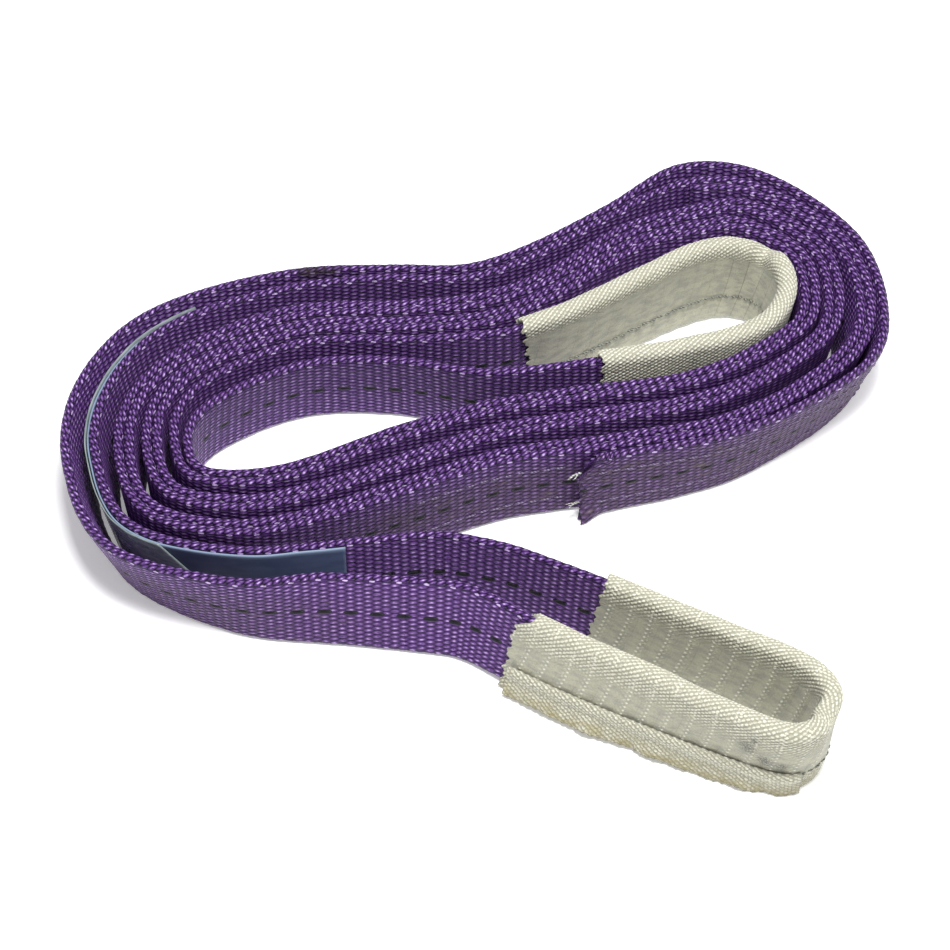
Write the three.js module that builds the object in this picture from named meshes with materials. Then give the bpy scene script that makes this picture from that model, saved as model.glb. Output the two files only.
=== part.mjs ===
// Duplex flat web sling with two sleeved eyes, wound into a loose flat coil that stands on its edge.
// Millimetres, +Z up, +X to the right end of the coil, +Y to its back. The coil rests on z = 0.
import * as THREE from 'three';

// Webbing: one long strap, laid double, with a reinforced eye at each end.
const WEB_WIDTH = 30;
const WEB_THICKNESS = 3.0;
const PLY_PITCH = 3.7;            // centre to centre of two plies that are sewn together
const RUN_GAP = 0.4;              // free space where one run of webbing ends and the next begins
const HINGE_GAP = 4.6;            // free space in each leg of the outer eye at its swing axis

// Woven wear sleeves, slipped over the two eyes.
const SLEEVE_WALL = 1.6;
const SLEEVE_SLOT = 3.8;
const SLEEVE_HEADROOM = 0.6;      // inside height of the sleeve above the webbing width
const SLEEVE_LIFT = 2.2;          // the sleeve's lower wall lifts the webbing off the ground
const SLEEVE_CORNER = 2.4;
const SEAM_SIZE = 0.8;
const SEAM_HEIGHT = 8;            // height of the seam above the lower edge of the webbing

// Label, film sleeve and sewing threads.
const LABEL_WIDTH = 27;
const LABEL_THICKNESS = 0.6;
const FILM_THICKNESS = 0.4;
const THREAD_SIZE = 0.7;
const CLEAR = 0.35;               // free space that parts lying on each other keep
const STITCH_ROWS = [WEB_WIDTH * 0.25, WEB_WIDTH * 0.75];
const TAIL_LENGTH = 7;
const LABEL_LOW = 1.5;            // height of the label's lower edge above the webbing's
const FILM_LOW = 2;
const SEAM_MARGIN = 1;            // the seam stops this far inside the sleeve's ends
const LAP_MARGIN = 4;             // the sewing stops this far before the strap's end

// Where pieces begin and end on the route, in points after a landmark of it.
const INNER_SLEEVE_SPAN = [2.85, 17];
const OUTER_SLEEVE_SPAN = [3.9, 18];
const INNER_SEAM_SPAN = [10, 17];  // clear of the seat in the bend of the eye
const LABEL_SPAN = [5.25, 10.2];
const FILM_SPAN = [5.25, 9];
const TURN_STITCH_SPAN = [11, 12.7];
const LAP_STITCH_START = 1;

// Middle of the coil's outline, in the coordinates of the stations below.
const COIL_CENTRE = [2.305, 7.265];

// Fineness of the laid strips.
const FINE_STEP = 1;
const CHORD_ERROR = 0.12;
const LONGEST_CHORD = 14;
const LARGEST_TWIST = THREE.MathUtils.degToRad(1.2);

// Stations round the coil, counter-clockwise from the back right. Each gives the place of the second
// turn's top edge, the outward direction in degrees, how far out of it the other plies lie
// (first = both plies of turn 1, third = the middle of turn 3, fourth = both plies of turn 4), and
// how far both plies of turn 1, turn 3 and both plies of turn 4 lean outward at the top, in degrees.
const STATIONS = [
  { at: [60, 103], out: 120, third: 7.9, fourth: [17.9, 21.8], lean: [3, 3, 4, 5, 5] },
  { at: [30, 78.5], out: 125, third: 7.7, fourth: [19.5, 24.1], lean: [0, 0, 2, 3, 3] },
  { at: [5, 63.5], out: 108, third: 9.6, fourth: [21.6, 27.4], lean: [0, 0, 0, 0, 0] },
  { at: [-27, 60.5], out: 94, first: [-18.4, -7.6], third: 8.6, fourth: [24, 29.1], lean: [-5, 0, 0, 0, 0] },
  { at: [-62, 58.5], out: 104, first: [-18, -7.2], third: 8.4, fourth: [21.5, 28.9], lean: [-8, 0, 0, 2, 3] },
  { at: [-96.5, 40], out: 131, first: [-17.5, -7.5], third: 8.3, fourth: [22.8, 33.3], lean: [-9, 0, 2, 6, 14] },
  { at: [-109.7, 21.6], out: 158, first: [-14.6, -7.4], third: 8.8, fourth: [20.2, 30.7], lean: [-5, 1, 4, 10, 14] },
  { at: [-111.3, 2.3], out: 188, first: [-12.4, -7.6], third: 9.8, fourth: [19.9, 30.1], lean: [0, 1, 6, 12, 17] },
  { at: [-103, -20.5], out: 228, first: [-12.9, -9], third: 11, fourth: [20.5, 31.5], lean: [1, 1, 6, 12, 22] },
  { at: [-79.5, -26.5], out: 269, first: [-14.2, -9.9], third: 11.4, fourth: [21.5, 35.8], lean: [1, 1, 5, 3, 9] },
  { at: [-59.5, -22], out: 288, first: [-13.3, -9.3], third: 11.1, fourth: [24.7, 39], lean: [0, 0, 3, -6, -11] },
  { at: [-25.5, -7.5], out: 294, first: [-15, -11], third: 10.7, fourth: [35.5, 0], lean: [0, 0, 0, -14, 0] },
  { at: [5, 6.5], out: 289, first: [-13.6, -9.9], third: 11.6, lean: [0, 0, 0, 0, 0] },
  { at: [43, 15.3], out: 283, first: [-13.4, -9.7], third: 13.2, fourth: [0, 19.4], lean: [0, 0, 3, 0, 3] },
  { at: [85, 25], out: 296, first: [-13, -9.3], third: 12.4, fourth: [0, 18.4], lean: [2, 2, 11, 0, 11] },
  { at: [124, 56.5], out: 326, first: [-11, -7.3], third: 12, fourth: [0, 19.9], lean: [8, 8, 17, 0, 20] },
  { at: [128.6, 72], out: 356, first: [-10.4, -6.7], third: 11.6, fourth: [0, 17.9], lean: [10, 10, 16, 0, 18] },
  { at: [124.5, 101], out: 27, first: [-10.3, -6.6], third: 9, fourth: [0, 15.4], lean: [9, 9, 12, 0, 13] },
  { at: [97, 123.8], out: 74, first: [-12, -8.3], third: 10.2, fourth: [0, 19.4], lean: [5, 5, 7, 0, 9] },
  { at: [82.2, 120.3], out: 104, first: [-10.6, -6.9], third: 14.5, fourth: [0, 24.9], lean: [4, 4, 5, 0, 6] },
];
const LAST_STATION = STATIONS.length - 1;
const EYE_STATION = 3;            // where the inner eye's two legs part
const FREE_STATION = 11;          // where the outer eye's first leg leaves the coil
const LAP_STATION = 13;           // the last station of the lapped outer end

// The two eyes: top edge of the strap as [x, y, lean to the right of travel, lift off the ground].
const INNER_EYE = [
  [3, 36, 3, 0], [30, 38, 1, 1.5], [47, 41, 0, SLEEVE_LIFT], [62, 44, 0, SLEEVE_LIFT],
  [79, 48, 2, SLEEVE_LIFT], [92, 52.5, 4, SLEEVE_LIFT], [103, 59, 6, SLEEVE_LIFT],
  [109.8, 69, 8, SLEEVE_LIFT], [112.2, 81, 8, SLEEVE_LIFT], [108.5, 92.5, 8, SLEEVE_LIFT],
  [98, 99, 6, SLEEVE_LIFT], [86, 98.5, 4, SLEEVE_LIFT], [74, 92.5, 2, SLEEVE_LIFT],
  [59, 82.5, 0, SLEEVE_LIFT], [44, 72, 0, SLEEVE_LIFT], [30, 63, 0, SLEEVE_LIFT],
  [18, 57.5, 0, SLEEVE_LIFT], [4, 54.5, 0, 0.5],
];
const OUTER_EYE = [
  [-2, -42, -10, 0], [11, -46, -8, 0], [27.4, -54.7, -8, 0.8], [43.8, -64, -8, SLEEVE_LIFT],
  [59.6, -73, -8, SLEEVE_LIFT], [74.4, -81.3, -8, SLEEVE_LIFT], [88.4, -88.2, -8, SLEEVE_LIFT],
  [102, -95.8, -8, SLEEVE_LIFT], [111.3, -103.2, -9, SLEEVE_LIFT],
  [116.3, -113.5, -11, SLEEVE_LIFT], [112.5, -124.5, -12, SLEEVE_LIFT],
  [102, -129.5, -10, SLEEVE_LIFT], [88, -123.5, -6, SLEEVE_LIFT], [72, -114, 0, SLEEVE_LIFT],
  [57, -104.5, 5, SLEEVE_LIFT], [41, -95, 7, SLEEVE_LIFT], [26, -85.4, 8, SLEEVE_LIFT],
  [15, -76.6, 11, 1.2], [6, -68.8, 14, 0], [-3, -63.2, 14, 0], [-14, -61.3, 12, 0],
];

// The cut end of the lapped strap, and the point beyond it that its loose threads lead to.
const LAP_END = [[36.5, -6.3, -1, 0], [26, -9.4, 0, 0]];

// One route for the whole strap, from its inner cut end, through both eyes, to its outer cut end.
const points = [];
const mark = {};

function stationPoint(index, turn, ply, travel) {
  const { at, out, first, third, fourth, lean } = STATIONS[index];
  const half = (ply - 0.5) * PLY_PITCH;
  const far = [first?.[ply], half, third + half, fourth?.[ply]][turn];
  const outward = [lean[ply], (lean[1] + lean[2]) / 2, lean[2], lean[3 + ply]][turn];
  const angle = THREE.MathUtils.degToRad(out);
  points.push({
    x: at[0] + far * Math.cos(angle),
    y: at[1] + far * Math.sin(angle),
    lean: outward * travel,
    lift: 0,
  });
}

function eyePoints(list) {
  for (const [x, y, lean, lift] of list) points.push({ x, y, lean, lift });
}

function layRoute() {
  for (let turn = 2; turn >= 0; turn -= 1) {
    mark[`inner_${turn}`] = points.length;
    const stop = turn === 0 ? EYE_STATION : 0;
    for (let i = LAST_STATION; i >= stop; i -= 1) stationPoint(i, turn, 0, -1);
  }
  mark.innerEye = points.length - 1;
  eyePoints(INNER_EYE);
  for (let turn = 0; turn <= 2; turn += 1) {
    mark[`outer_${turn}`] = points.length;
    const start = turn === 0 ? EYE_STATION : 0;
    for (let i = start; i <= LAST_STATION; i += 1) stationPoint(i, turn, 1, 1);
  }
  mark.outer_3 = points.length;
  for (let i = 0; i <= FREE_STATION; i += 1) stationPoint(i, 3, 0, 1);
  mark.outerEye = points.length - 1;
  eyePoints(OUTER_EYE);
  mark.back = points.length;
  for (let i = FREE_STATION - 1; i >= 0; i -= 1) stationPoint(i, 3, 1, -1);
  mark.lap = points.length;
  for (let i = LAST_STATION; i >= LAP_STATION; i -= 1) stationPoint(i, 3, 1, -1);
  mark.end = points.length;
  eyePoints(LAP_END);
}

layRoute();

// Fine samples of the route, with the lean and lift eased between the points.
const flatPoints = points.map((p) => new THREE.Vector3(p.x, p.y, 0));
const curve = new THREE.CatmullRomCurve3(flatPoints, false, 'centripetal');

function sampleAt(index) {
  const last = points.length - 1;
  const low = Math.min(Math.floor(index), last - 1);
  const part = index - low;
  const place = curve.getPoint(index / last);
  const ahead = curve.getTangent(index / last);
  return {
    x: place.x,
    y: place.y,
    right: new THREE.Vector3(ahead.y, -ahead.x, 0).normalize(),
    lean: THREE.MathUtils.degToRad(THREE.MathUtils.lerp(points[low].lean, points[low + 1].lean, part)),
    lift: THREE.MathUtils.lerp(points[low].lift, points[low + 1].lift, part),
  };
}

// Arc length along the route, at even steps of the point index.
const PER_POINT = 40;
const arc = [0];
const places = curve.getPoints((points.length - 1) * PER_POINT);
for (let i = 1; i < places.length; i += 1) arc.push(arc[i - 1] + places[i].distanceTo(places[i - 1]));

function indexAt(length) {
  let low = 0;
  let high = arc.length - 1;
  while (high - low > 1) {
    const middle = (low + high) >> 1;
    if (arc[middle] > length) high = middle;
    else low = middle;
  }
  const part = (length - arc[low]) / (arc[high] - arc[low]);
  return (low + part) / PER_POINT;
}

function lengthAt(index) {
  return arc[Math.round(index * PER_POINT)];
}

// Stops along the whole route, closer together where it bends, so that all that lies on it bends alike.
const stopLengths = [];

function setStops() {
  let kept = 0;
  let turned = 0;
  let before = sampleAt(0);
  let keptLean = before.lean;
  for (let s = FINE_STEP; s < arc[arc.length - 1]; s += FINE_STEP) {
    const here = sampleAt(indexAt(s));
    turned += before.right.angleTo(here.right);
    before = here;
    const chord = s - kept;
    const twisted = Math.abs(here.lean - keptLean);
    if (turned * chord / 8 > CHORD_ERROR || twisted > LARGEST_TWIST || chord > LONGEST_CHORD) {
      stopLengths.push(s);
      kept = s;
      keptLean = here.lean;
      turned = 0;
    }
  }
}

setStops();

function stopsBetween(from, to) {
  const inner = stopLengths.filter((s) => s > from + FINE_STEP && s < to - FINE_STEP);
  return [from, ...inner, to].map((s) => sampleAt(indexAt(s)));
}

// A section drawn as (toward the left of travel, height above the webbing's lower edge), laid along
// the route. Nothing goes below the ground.
function layAlong(name, shape, from, to, material) {
  const stops = stopsBetween(from, to);
  const steps = stops.length - 1;
  const settings = { depth: steps, steps, bevelEnabled: false, curveSegments: 2 };
  const geometry = new THREE.ExtrudeGeometry(shape, settings);
  const position = geometry.getAttribute('position');
  for (let i = 0; i < position.count; i += 1) {
    const stop = stops[Math.round(position.getZ(i))];
    const side = position.getX(i);
    const below = position.getY(i) - WEB_WIDTH;
    const sine = Math.sin(stop.lean);
    const cosine = Math.cos(stop.lean);
    const across = below * sine - side * cosine;
    position.setXYZ(
      i,
      stop.x + stop.right.x * across,
      stop.y + stop.right.y * across,
      Math.max(0, stop.lift + (WEB_WIDTH + below) * cosine + side * sine),
    );
  }
  geometry.deleteAttribute('uv');
  geometry.computeVertexNormals();
  const mesh = new THREE.Mesh(geometry, material);
  mesh.name = name;
  return mesh;
}

function rectangle(side, low, thick, high) {
  const shape = new THREE.Shape();
  shape.moveTo(side - thick / 2, low);
  shape.lineTo(side + thick / 2, low);
  shape.lineTo(side + thick / 2, low + high);
  shape.lineTo(side - thick / 2, low + high);
  shape.closePath();
  return shape;
}

function sleeveSection() {
  const half = SLEEVE_SLOT / 2 + SLEEVE_WALL;
  const low = -SLEEVE_LIFT;
  const top = WEB_WIDTH + SLEEVE_HEADROOM + SLEEVE_WALL;
  const corner = SLEEVE_CORNER;
  const shape = new THREE.Shape();
  shape.moveTo(-half, low);
  shape.lineTo(half, low);
  shape.lineTo(half, top - corner);
  shape.absarc(half - corner, top - corner, corner, 0, Math.PI / 2, false);
  shape.lineTo(-half + corner, top);
  shape.absarc(-half + corner, top - corner, corner, Math.PI / 2, Math.PI, false);
  shape.closePath();
  const slot = new THREE.Path();
  slot.moveTo(-SLEEVE_SLOT / 2, -SLEEVE_HEADROOM);
  slot.lineTo(-SLEEVE_SLOT / 2, WEB_WIDTH + SLEEVE_HEADROOM);
  slot.lineTo(SLEEVE_SLOT / 2, WEB_WIDTH + SLEEVE_HEADROOM);
  slot.lineTo(SLEEVE_SLOT / 2, -SLEEVE_HEADROOM);
  slot.closePath();
  shape.holes.push(slot);
  return shape;
}

const paint = (color, roughness) => new THREE.MeshStandardMaterial({ color, roughness, metalness: 0 });
const violet = paint(0x6a3fa0, 0.7);
const ivory = paint(0xd8d8c4, 0.75);
const darkThread = paint(0x55584c, 0.8);
const violetThread = paint(0x7a6f86, 0.8);
const blue = paint(0x33436f, 0.5);
const clearFilm = paint(0x8fa39a, 0.25);

const sling = new THREE.Group();

// The strap's runs, one after another along the route.
const flat = rectangle(0, 0, WEB_THICKNESS, WEB_WIDTH);
const runs = [
  ['turn_3_inner_ply', mark.inner_2, mark.inner_1 - 0.5],
  ['turn_2_inner_ply', mark.inner_1 - 0.5, mark.inner_0 - 0.5],
  ['turn_1_inner_ply', mark.inner_0 - 0.5, mark.innerEye],
  ['inner_eye_loop', mark.innerEye, mark.outer_0],
  ['turn_1_outer_ply', mark.outer_0, mark.outer_1 - 0.5],
  ['turn_2_outer_ply', mark.outer_1 - 0.5, mark.outer_2 - 0.5],
  ['turn_3_outer_ply', mark.outer_2 - 0.5, mark.outer_3 - 0.5],
  ['turn_4_inner_ply', mark.outer_3 - 0.5, mark.outerEye + 1],
  ['outer_eye_loop', mark.outerEye + 1, mark.back - 2],
  ['turn_4_outer_ply', mark.back - 2, mark.lap - 0.5],
  ['lapped_outer_end', mark.lap - 0.5, mark.end],
];
for (const [name, from, to] of runs) {
  const startGap = name === 'outer_eye_loop' || name === 'turn_4_outer_ply' ? HINGE_GAP : RUN_GAP;
  const endGap = name === 'outer_eye_loop' || name === 'turn_4_inner_ply' ? HINGE_GAP : RUN_GAP;
  sling.add(layAlong(name, flat, lengthAt(from) + startGap / 2, lengthAt(to) - endGap / 2, violet));
}

// Lays a section from one place to another, both in points after a landmark.
function layBetween(name, shape, landmark, span, margin, material) {
  const from = lengthAt(landmark + span[0]) + margin;
  const to = lengthAt(landmark + span[1]) - margin;
  sling.add(layAlong(name, shape, from, to, material));
}

// Sleeves over the eyes, each closed by one line of dark seam thread.
const seamSide = SLEEVE_SLOT / 2 + SLEEVE_WALL + CLEAR + SEAM_SIZE / 2;
const seam = rectangle(seamSide, SEAM_HEIGHT, SEAM_SIZE, SEAM_SIZE);
const sleeve = sleeveSection();
layBetween('inner_eye_sleeve', sleeve, mark.innerEye, INNER_SLEEVE_SPAN, 0, ivory);
layBetween('outer_eye_sleeve', sleeve, mark.outerEye, OUTER_SLEEVE_SPAN, 0, ivory);
layBetween('inner_sleeve_seam', seam, mark.innerEye, INNER_SEAM_SPAN, SEAM_MARGIN, darkThread);
layBetween('outer_sleeve_seam', seam, mark.outerEye, OUTER_SLEEVE_SPAN, SEAM_MARGIN, darkThread);

// Label and its film, in the space between the two plies of the fourth turn.
const labelSide = -(WEB_THICKNESS / 2 + CLEAR + LABEL_THICKNESS / 2);
const filmSide = labelSide - LABEL_THICKNESS / 2 - CLEAR - FILM_THICKNESS / 2;
const labelShape = rectangle(labelSide, LABEL_LOW, LABEL_THICKNESS, LABEL_WIDTH);
const filmShape = rectangle(filmSide, FILM_LOW, FILM_THICKNESS, LABEL_WIDTH);
layBetween('label', labelShape, mark.outer_3, LABEL_SPAN, 0, blue);
layBetween('label_film', filmShape, mark.outer_3, FILM_SPAN, 0, clearFilm);

// Two rows of sewing on the outside of the third turn and on the lapped end.
const stitchSide = WEB_THICKNESS / 2 + CLEAR + THREAD_SIZE / 2;
const lapStart = lengthAt(mark.lap + LAP_STITCH_START);
const lapEnd = lengthAt(mark.end) - LAP_MARGIN;
STITCH_ROWS.forEach((height, row) => {
  const level = height - THREAD_SIZE / 2;
  const onTurn = rectangle(-stitchSide, level, THREAD_SIZE, THREAD_SIZE);
  const onLap = rectangle(stitchSide, level, THREAD_SIZE, THREAD_SIZE);
  layBetween(`body_stitch_${row + 1}`, onTurn, mark.outer_2, TURN_STITCH_SPAN, 0, violetThread);
  sling.add(layAlong(`lap_stitch_${row + 1}`, onLap, lapStart, lapEnd, violetThread));
});

// Loose ends of the sewing thread at the lapped end.
STITCH_ROWS.forEach((height, row) => {
  const tail = rectangle(0, height - THREAD_SIZE / 2, THREAD_SIZE, THREAD_SIZE);
  const start = lengthAt(mark.end) + RUN_GAP;
  sling.add(layAlong(`thread_tail_${row + 1}`, tail, start, start + TAIL_LENGTH, ivory));
});

// The origin is under the middle of the coil's outline.
sling.position.set(-COIL_CENTRE[0], -COIL_CENTRE[1], 0);

export default sling;
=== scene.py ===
"""Flat web sling: the looks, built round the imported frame. Metres, in the frame's own axes."""
import math

import bpy
import numpy as np
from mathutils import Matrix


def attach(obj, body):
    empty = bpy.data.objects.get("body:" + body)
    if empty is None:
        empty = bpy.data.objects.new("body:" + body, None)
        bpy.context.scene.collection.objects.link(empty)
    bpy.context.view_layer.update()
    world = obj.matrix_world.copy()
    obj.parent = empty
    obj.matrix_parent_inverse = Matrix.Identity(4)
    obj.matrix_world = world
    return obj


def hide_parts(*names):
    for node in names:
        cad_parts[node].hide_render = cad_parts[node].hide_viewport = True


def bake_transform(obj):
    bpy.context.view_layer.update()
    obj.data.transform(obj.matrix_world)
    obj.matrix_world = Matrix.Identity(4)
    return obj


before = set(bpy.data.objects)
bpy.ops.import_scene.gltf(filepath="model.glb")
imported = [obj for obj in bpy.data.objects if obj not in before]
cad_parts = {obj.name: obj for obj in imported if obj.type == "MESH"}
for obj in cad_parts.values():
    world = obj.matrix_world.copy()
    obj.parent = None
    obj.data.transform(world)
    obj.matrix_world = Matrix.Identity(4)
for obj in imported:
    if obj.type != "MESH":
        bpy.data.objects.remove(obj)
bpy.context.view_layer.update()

MM = 0.001

# ------------ camera, light and floor
COIL_CENTRE = (2.305, 7.265)       # mm, where the frame's origin lies on the route's own plan
TARGET = (-0.002305, -0.007265, 0.015)
DISTANCE = 1.28
ELEVATION = 46.5
LENS = 140.2
SENSOR_WIDTH = 36
NEAREST = 0.05
WORLD_STRENGTH = 0.36
KEY = dict(location=(0.1, -0.3, 1.5), size=0.4, power=27)
FILL = dict(location=(0.6, -0.2, 1.3), size=0.8, power=6)
FLOOR_SIZE = 12
FLOOR_DROP = 0.0005
FLOOR_PAINT = (0.93, 0.93, 0.93, 1)
FLOOR_GLOW = 0.28
WHITE = (1, 1, 1, 1)


def place_camera():
    data = bpy.data.cameras.new("camera")
    data.lens = LENS
    data.sensor_width = SENSOR_WIDTH
    data.clip_start = NEAREST
    camera = bpy.data.objects.new("camera", data)
    bpy.context.scene.collection.objects.link(camera)
    tilt = math.radians(ELEVATION)
    back, up = DISTANCE * math.cos(tilt), DISTANCE * math.sin(tilt)
    camera.location = (TARGET[0], TARGET[1] - back, TARGET[2] + up)
    camera.rotation_euler = (math.pi / 2 - tilt, 0, 0)
    bpy.context.scene.camera = camera


def area_light(name, location, size, power):
    """A square lamp that looks at the frame's origin."""
    data = bpy.data.lights.new(name, "AREA")
    data.size = size
    data.energy = power
    lamp = bpy.data.objects.new(name, data)
    bpy.context.scene.collection.objects.link(lamp)
    lamp.location = location
    x, y, z = location
    tilt = math.atan2(math.hypot(x, y), z)
    lamp.rotation_euler = (tilt, 0, math.atan2(-y, -x) - math.pi / 2)


def light_studio():
    world = bpy.data.worlds.new("studio")
    world.use_nodes = True
    background = world.node_tree.nodes["Background"]
    background.inputs["Color"].default_value = WHITE
    background.inputs["Strength"].default_value = WORLD_STRENGTH
    bpy.context.scene.world = world
    area_light("key", **KEY)
    area_light("fill", **FILL)
    bpy.context.scene.view_settings.view_transform = "Standard"


def lay_floor():
    bpy.ops.mesh.primitive_plane_add(size=FLOOR_SIZE, location=(0, 0, -FLOOR_DROP))
    floor = bpy.context.active_object
    floor.name = "floor"
    material = bpy.data.materials.new("floor_white")
    material.use_nodes = True
    shader = material.node_tree.nodes["Principled BSDF"]
    shader.inputs["Base Color"].default_value = FLOOR_PAINT
    shader.inputs["Roughness"].default_value = 0.9
    shader.inputs["Emission Color"].default_value = WHITE
    shader.inputs["Emission Strength"].default_value = FLOOR_GLOW
    floor.data.materials.append(material)


place_camera()
light_studio()
lay_floor()

# ------------ the strap's route, as in the CAD model
WEB_WIDTH = 30.0
PLY_PITCH = 3.7
SLEEVE_LIFT = 2.2
# Round the coil: the middle of the second turn, the outward bearing in degrees, then how far out from
# there in mm: the first turn's two plies, the middle of the third turn, the fourth turn's two plies
# (None or 0 where there is no ply). Last, the leans in degrees: the first turn's two plies, the third
# turn, the fourth turn's two plies.
STATIONS = [
    ((60, 103), 120, None, 7.9, (17.9, 21.8), (3, 3, 4, 5, 5)),
    ((30, 78.5), 125, None, 7.7, (19.5, 24.1), (0, 0, 2, 3, 3)),
    ((5, 63.5), 108, None, 9.6, (21.6, 27.4), (0, 0, 0, 0, 0)),
    ((-27, 60.5), 94, (-18.4, -7.6), 8.6, (24, 29.1), (-5, 0, 0, 0, 0)),
    ((-62, 58.5), 104, (-18, -7.2), 8.4, (21.5, 28.9), (-8, 0, 0, 2, 3)),
    ((-96.5, 40), 131, (-17.5, -7.5), 8.3, (22.8, 33.3), (-9, 0, 2, 6, 14)),
    ((-109.7, 21.6), 158, (-14.6, -7.4), 8.8, (20.2, 30.7), (-5, 1, 4, 10, 14)),
    ((-111.3, 2.3), 188, (-12.4, -7.6), 9.8, (19.9, 30.1), (0, 1, 6, 12, 17)),
    ((-103, -20.5), 228, (-12.9, -9), 11, (20.5, 31.5), (1, 1, 6, 12, 22)),
    ((-79.5, -26.5), 269, (-14.2, -9.9), 11.4, (21.5, 35.8), (1, 1, 5, 3, 9)),
    ((-59.5, -22), 288, (-13.3, -9.3), 11.1, (24.7, 39), (0, 0, 3, -6, -11)),
    ((-25.5, -7.5), 294, (-15, -11), 10.7, (35.5, 0), (0, 0, 0, -14, 0)),
    ((5, 6.5), 289, (-13.6, -9.9), 11.6, None, (0, 0, 0, 0, 0)),
    ((43, 15.3), 283, (-13.4, -9.7), 13.2, (0, 19.4), (0, 0, 3, 0, 3)),
    ((85, 25), 296, (-13, -9.3), 12.4, (0, 18.4), (2, 2, 11, 0, 11)),
    ((124, 56.5), 326, (-11, -7.3), 12, (0, 19.9), (8, 8, 17, 0, 20)),
    ((128.6, 72), 356, (-10.4, -6.7), 11.6, (0, 17.9), (10, 10, 16, 0, 18)),
    ((124.5, 101), 27, (-10.3, -6.6), 9, (0, 15.4), (9, 9, 12, 0, 13)),
    ((97, 123.8), 74, (-12, -8.3), 10.2, (0, 19.4), (5, 5, 7, 0, 9)),
    ((82.2, 120.3), 104, (-10.6, -6.9), 14.5, (0, 24.9), (4, 4, 5, 0, 6)),
]
LAST_STATION = len(STATIONS) - 1
EYE_STATION = 3
FREE_STATION = 11
LAP_STATION = 13
# Along each eye: x, y, lean in degrees and lift off the ground.
INNER_EYE = [
    (3, 36, 3, 0), (30, 38, 1, 1.5), (47, 41, 0, SLEEVE_LIFT), (62, 44, 0, SLEEVE_LIFT),
    (79, 48, 2, SLEEVE_LIFT), (92, 52.5, 4, SLEEVE_LIFT), (103, 59, 6, SLEEVE_LIFT),
    (109.8, 69, 8, SLEEVE_LIFT), (112.2, 81, 8, SLEEVE_LIFT), (108.5, 92.5, 8, SLEEVE_LIFT),
    (98, 99, 6, SLEEVE_LIFT), (86, 98.5, 4, SLEEVE_LIFT), (74, 92.5, 2, SLEEVE_LIFT),
    (59, 82.5, 0, SLEEVE_LIFT), (44, 72, 0, SLEEVE_LIFT), (30, 63, 0, SLEEVE_LIFT),
    (18, 57.5, 0, SLEEVE_LIFT), (4, 54.5, 0, 0.5),
]
OUTER_EYE = [
    (-2, -42, -10, 0), (11, -46, -8, 0), (27.4, -54.7, -8, 0.8), (43.8, -64, -8, SLEEVE_LIFT),
    (59.6, -73, -8, SLEEVE_LIFT), (74.4, -81.3, -8, SLEEVE_LIFT), (88.4, -88.2, -8, SLEEVE_LIFT),
    (102, -95.8, -8, SLEEVE_LIFT), (111.3, -103.2, -9, SLEEVE_LIFT),
    (116.3, -113.5, -11, SLEEVE_LIFT), (112.5, -124.5, -12, SLEEVE_LIFT),
    (102, -129.5, -10, SLEEVE_LIFT), (88, -123.5, -6, SLEEVE_LIFT), (72, -114, 0, SLEEVE_LIFT),
    (57, -104.5, 5, SLEEVE_LIFT), (41, -95, 7, SLEEVE_LIFT), (26, -85.4, 8, SLEEVE_LIFT),
    (15, -76.6, 11, 1.2), (6, -68.8, 14, 0), (-3, -63.2, 14, 0), (-14, -61.3, 12, 0),
]
LAP_END = [(36.5, -6.3, -1, 0), (26, -9.4, 0, 0)]


def lay_route():
    """The strap's top edge as rows (x, y, lean, lift), and the place in the list of each landmark."""
    points, mark = [], {}

    def station(index, turn, ply, travel):
        at, out, first, third, fourth, lean = STATIONS[index]
        half = (ply - 0.5) * PLY_PITCH
        far = [first and first[ply], half, third + half, fourth and fourth[ply]][turn]
        outward = (lean[ply], (lean[1] + lean[2]) / 2, lean[2], lean[3 + ply])[turn]
        angle = math.radians(out)
        points.append((at[0] + far * math.cos(angle), at[1] + far * math.sin(angle), outward * travel, 0.0))

    for turn in (2, 1, 0):
        mark["inner_%d" % turn] = len(points)
        stop = EYE_STATION if turn == 0 else 0
        for i in range(LAST_STATION, stop - 1, -1):
            station(i, turn, 0, -1)
    mark["inner_eye"] = len(points) - 1
    points.extend(INNER_EYE)
    for turn in (0, 1, 2):
        mark["outer_%d" % turn] = len(points)
        start = EYE_STATION if turn == 0 else 0
        for i in range(start, LAST_STATION + 1):
            station(i, turn, 1, 1)
    mark["outer_3"] = len(points)
    for i in range(FREE_STATION + 1):
        station(i, 3, 0, 1)
    mark["outer_eye"] = len(points) - 1
    points.extend(OUTER_EYE)
    mark["back"] = len(points)
    for i in range(FREE_STATION - 1, -1, -1):
        station(i, 3, 1, -1)
    mark["lap"] = len(points)
    for i in range(LAST_STATION, LAP_STATION - 1, -1):
        station(i, 3, 1, -1)
    mark["end"] = len(points)
    points.extend(LAP_END)
    return np.array(points, float), mark


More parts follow.
